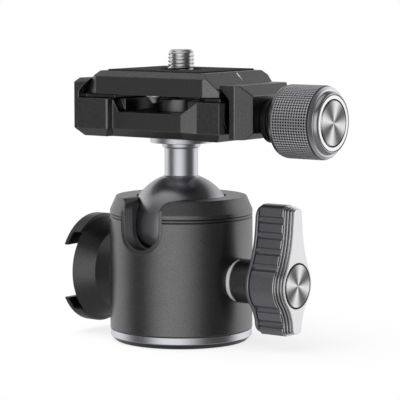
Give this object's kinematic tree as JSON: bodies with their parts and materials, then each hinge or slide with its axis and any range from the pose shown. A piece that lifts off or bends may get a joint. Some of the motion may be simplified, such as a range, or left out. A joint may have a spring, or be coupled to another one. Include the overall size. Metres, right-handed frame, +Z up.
{
  "type": "tripod ball head",
  "caption": "Small ball head for a camera tripod, with a lock lever, a drop notch, an accessory shoe and a quick-release clamp holding a dovetail camera plate.",
  "frame": {"origin": "centre of the tripod thread's mouth, on the underside of the base", "axes": "+Z up along the housing to the camera screw, +X to the lock lever and the clamp knob, -Y to the drop notch"},
  "size_m": [0.0694, 0.034, 0.0691],
  "materials": {
    "housing_grey": "satin dark grey anodised",
    "clamp_grey": "bead-blasted charcoal anodised",
    "black_metal": "satin black anodised",
    "silver": "polished turned aluminium",
    "dark_chrome": "dark polished plating",
    "spun_disc": "spun aluminium",
    "pale_face": "pale satin anodised",
    "steel": "turned steel",
    "dark_steel": "blackened steel",
    "brass": "turned brass",
    "seat_plastic": "smooth dark bearing plastic",
    "pad_rubber": "matt black"
  },
  "bodies": {
    "base": {"housing": "housing_grey", "base_plate": "silver", "reducer_bush": "steel", "spring_washer": "steel", "friction_ring": "seat_plastic", "lock_bush": "silver", "cold_shoe": "black_metal", "shoe_screws": "dark_steel"},
    "cup": {"ball_cup": "seat_plastic"},
    "pusher": {"lock_pusher": "brass"},
    "lever": {"lock_stud": "steel", "lever_boss": "black_metal", "lever_grip": "black_metal", "lever_face": "pale_face", "lever_ring": "black_metal", "lever_disc": "spun_disc"},
    "ball": {"ball": "dark_chrome"},
    "head": {"stem": "silver", "centre_screw": "dark_steel", "clamp_body": "clamp_grey", "jaw_springs": "steel"},
    "jaw": {"movable_jaw": "clamp_grey", "guide_pins": "steel"},
    "knob": {"clamp_screw": "steel", "knob_sleeve": "black_metal", "knob_grip": "black_metal", "knob_ring": "silver", "knob_disc": "spun_disc"},
    "plate": {"qr_plate": "clamp_grey", "rubber_pad": "pad_rubber", "stop_screws": "steel"},
    "camera_screw": {"camera_screw": "steel", "screw_clip": "dark_steel"}
  },
  "joints": [
    {"name": "ball_tilt", "type": "hinge", "parent": "base", "child": "ball", "pos_m": [0, 0, 0.0274], "axis": [1, 0, 0], "range_deg": [-35, 90]},
    {"name": "head_spin", "type": "hinge", "parent": "ball", "child": "head", "pos_m": [0, 0, 0.0274], "axis": [0, 0, 1], "continuous": true},
    {"name": "lock_slide", "type": "slide", "parent": "base", "child": "pusher", "axis": [1, 0, 0], "range_m": [0, 0.00027]},
    {"name": "lock_lever", "type": "hinge", "parent": "pusher", "child": "lever", "pos_m": [0.0231, 0, 0.01535], "axis": [1, 0, 0], "range_deg": [0, 120]},
    {"name": "cup_lift", "type": "slide", "parent": "base", "child": "cup", "axis": [0, 0, 1], "range_m": [-0.00027, 0]},
    {"name": "jaw_slide", "type": "slide", "parent": "head", "child": "jaw", "axis": [1, 0, 0], "range_m": [0, 0.0035], "deforming": ["jaw_springs"]},
    {"name": "knob_turn", "type": "hinge", "parent": "jaw", "child": "knob", "pos_m": [0.036, 0, 0.05332], "axis": [1, 0, 0], "range_deg": [0, 1260]},
    {"name": "plate_slide", "type": "slide", "parent": "head", "child": "plate", "axis": [0, 1, 0], "range_m": [-0.003, 0.003]},
    {"name": "camera_screw_turn", "type": "hinge", "parent": "plate", "child": "camera_screw", "pos_m": [0, 0, 0.0665], "axis": [0, 0, 1], "continuous": true}
  ],
  "couplings": [
    {"joint": "lock_slide", "follows": "lock_lever", "m_per_rad": 0.00012732},
    {"joint": "cup_lift", "follows": "lock_lever", "m_per_rad": -0.00012732},
    {"joint": "knob_turn", "follows": "jaw_slide", "rad_per_m": 6283.2}
  ]
}
